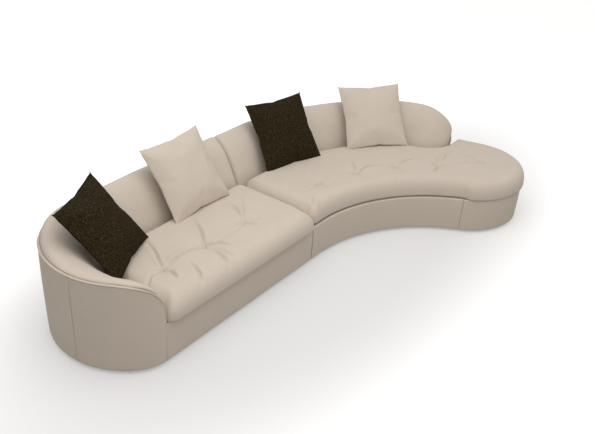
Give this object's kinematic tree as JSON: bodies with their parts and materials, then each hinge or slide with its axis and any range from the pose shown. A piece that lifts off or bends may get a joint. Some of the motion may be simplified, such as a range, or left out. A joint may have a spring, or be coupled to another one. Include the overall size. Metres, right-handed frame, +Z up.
{
  "type": "curved sofa",
  "caption": "Modular curved sofa with a wrap-round padded back, a rounded arm end, a kidney-shaped open end, tufted loose seat cushions and square throw pillows.",
  "frame": {"origin": "middle of the footprint, on the floor under the glides", "axes": "+X along the straight front from the arm end to the open end, +Y from front to back, +Z up"},
  "size_m": [3.4511, 1.7423, 0.8167],
  "materials": {
    "seat_fabric": "smooth fine-napped weave",
    "shell_fabric": "smooth fine-napped weave",
    "piping_fabric": "smooth fine-napped weave",
    "pale_pillow_fabric": "smooth fine-napped weave",
    "dark_pillow_fabric": "coarse looped weave",
    "foam": "matt open-cell foam",
    "filling": "matt fibre ball filling in a plain sheet cover",
    "timber": "sawn, unfinished",
    "webbing": "woven elastic",
    "deck_felt": "needled felt",
    "lining": "non-woven lining",
    "foot_plastic": "matt black",
    "felt": "pressed felt",
    "steel": "zinc plated",
    "zip_tape": "woven tape with plastic teeth"
  },
  "bodies": {
    "left_module": {"left_arm_outer_panel": "shell_fabric", "left_back_outer_panel": "shell_fabric", "left_back_pad": "seat_fabric", "left_back_posts": "timber", "left_back_top_rail": "timber", "left_base_panel": "shell_fabric", "left_connector_screws": "steel", "left_connector_sockets": "steel", "left_cross_rails": "timber", "left_deck_pad": "deck_felt", "left_dust_cover": "lining", "left_feet": "foot_plastic", "left_foot_blocks": "timber", "left_foot_glides": "felt", "left_foot_screws": "steel", "left_front_rail": "timber", "left_outer_rail": "timber", "left_piping": "piping_fabric", "left_seam_panel": "lining", "left_seam_rail": "timber", "left_webbing": "webbing"},
    "right_module": {"right_back_outer_panel": "shell_fabric", "right_back_pad": "seat_fabric", "right_back_posts": "timber", "right_back_top_rail": "timber", "right_base_panel": "shell_fabric", "right_connector_pins": "steel", "right_connector_screws": "steel", "right_cross_rails": "timber", "right_deck_pad": "deck_felt", "right_dust_cover": "lining", "right_feet": "foot_plastic", "right_foot_blocks": "timber", "right_foot_glides": "felt", "right_foot_screws": "steel", "right_front_rail": "timber", "right_lobe_panel": "shell_fabric", "right_outer_rail": "timber", "right_piping": "piping_fabric", "right_seam_panel": "lining", "right_seam_rail": "timber", "right_webbing": "webbing"},
    "left_dark_pillow": {"left_dark_pillow_cover": "dark_pillow_fabric", "left_dark_pillow_insert": "filling", "left_dark_pillow_zip": "zip_tape"},
    "left_pale_pillow": {"left_pale_pillow_cover": "pale_pillow_fabric", "left_pale_pillow_insert": "filling", "left_pale_pillow_zip": "zip_tape"},
    "left_seat_cushion": {"left_seat_core": "foam", "left_seat_cover": "seat_fabric", "left_seat_zip": "zip_tape"},
    "right_dark_pillow": {"right_dark_pillow_cover": "dark_pillow_fabric", "right_dark_pillow_insert": "filling", "right_dark_pillow_zip": "zip_tape"},
    "right_pale_pillow": {"right_pale_pillow_cover": "pale_pillow_fabric", "right_pale_pillow_insert": "filling", "right_pale_pillow_zip": "zip_tape"},
    "right_seat_cushion": {"right_seat_core": "foam", "right_seat_cover": "seat_fabric", "right_seat_zip": "zip_tape"}
  },
  "joints": [
    {"name": "right_module_pull_off", "type": "slide", "parent": "left_module", "child": "right_module", "axis": [1, 0, 0], "range_m": [0, 0.5]},
    {"name": "left_seat_cushion_lift", "type": "slide", "parent": "left_module", "child": "left_seat_cushion", "axis": [0, 0, 1], "range_m": [0, 0.3]},
    {"name": "right_seat_cushion_lift", "type": "slide", "parent": "right_module", "child": "right_seat_cushion", "axis": [0, 0, 1], "range_m": [0, 0.3]},
    {"name": "left_dark_pillow_lift", "type": "slide", "parent": "left_seat_cushion", "child": "left_dark_pillow", "axis": [0, 0, 1], "range_m": [0, 0.3]},
    {"name": "left_pale_pillow_lift", "type": "slide", "parent": "left_seat_cushion", "child": "left_pale_pillow", "axis": [0, 0, 1], "range_m": [0, 0.3]},
    {"name": "right_dark_pillow_lift", "type": "slide", "parent": "right_seat_cushion", "child": "right_dark_pillow", "axis": [0, 0, 1], "range_m": [0, 0.3]},
    {"name": "right_pale_pillow_lift", "type": "slide", "parent": "right_seat_cushion", "child": "right_pale_pillow", "axis": [0, 0, 1], "range_m": [0, 0.3]}
  ]
}
